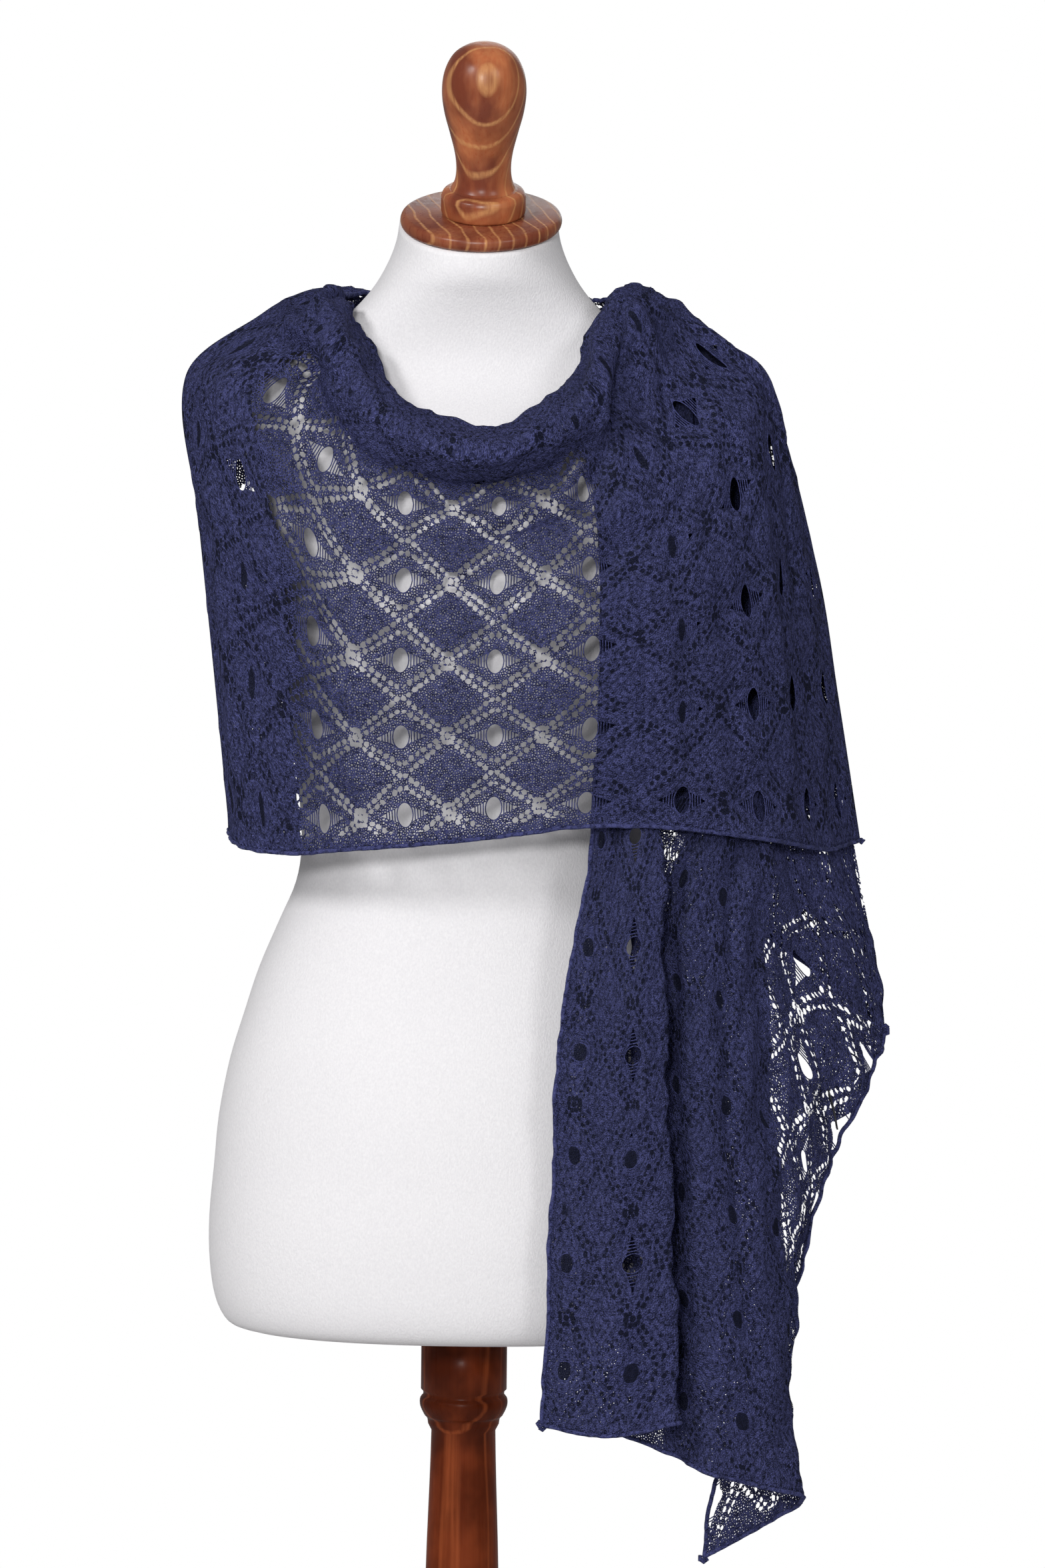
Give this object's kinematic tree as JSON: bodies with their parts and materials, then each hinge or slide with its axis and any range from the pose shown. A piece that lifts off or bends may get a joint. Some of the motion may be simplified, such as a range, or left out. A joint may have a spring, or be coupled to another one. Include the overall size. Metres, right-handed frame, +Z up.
{
  "type": "lace shawl on a dress form",
  "caption": "Long knitted lace shawl wrapped round the shoulders of an armless dress form, with a pleated end hanging in front, on a turned wooden post.",
  "frame": {"origin": "centre of the foot's flat underside, on the surface that the stand rests on", "axes": "+Z up along the post, the shawl's front faces -Y, +X is the viewer's right from the front"},
  "size_m": [0.4757, 0.34, 1.6081],
  "materials": {
    "form_torso": "smooth white cotton jersey",
    "form_neck_cap": "stained and polished pine",
    "form_finial": "stained and polished pine",
    "stand_post": "stained and polished pine",
    "stand_base": "stained and polished pine",
    "shawl_front_cross": "heather navy knitted lace",
    "shawl_back": "heather navy knitted lace",
    "shawl_end_front": "heather navy knitted lace",
    "shawl_end_back": "heather navy knitted lace",
    "shawl_label": "plain black woven tape"
  },
  "bodies": {
    "root": {"form_torso": "form_torso", "form_neck_cap": "form_neck_cap", "form_finial": "form_finial", "stand_post": "stand_post", "stand_base": "stand_base", "shawl_front_cross": "shawl_front_cross", "shawl_back": "shawl_back", "shawl_end_front": "shawl_end_front", "shawl_end_back": "shawl_end_back", "shawl_label": "shawl_label"}
  },
  "joints": []
}
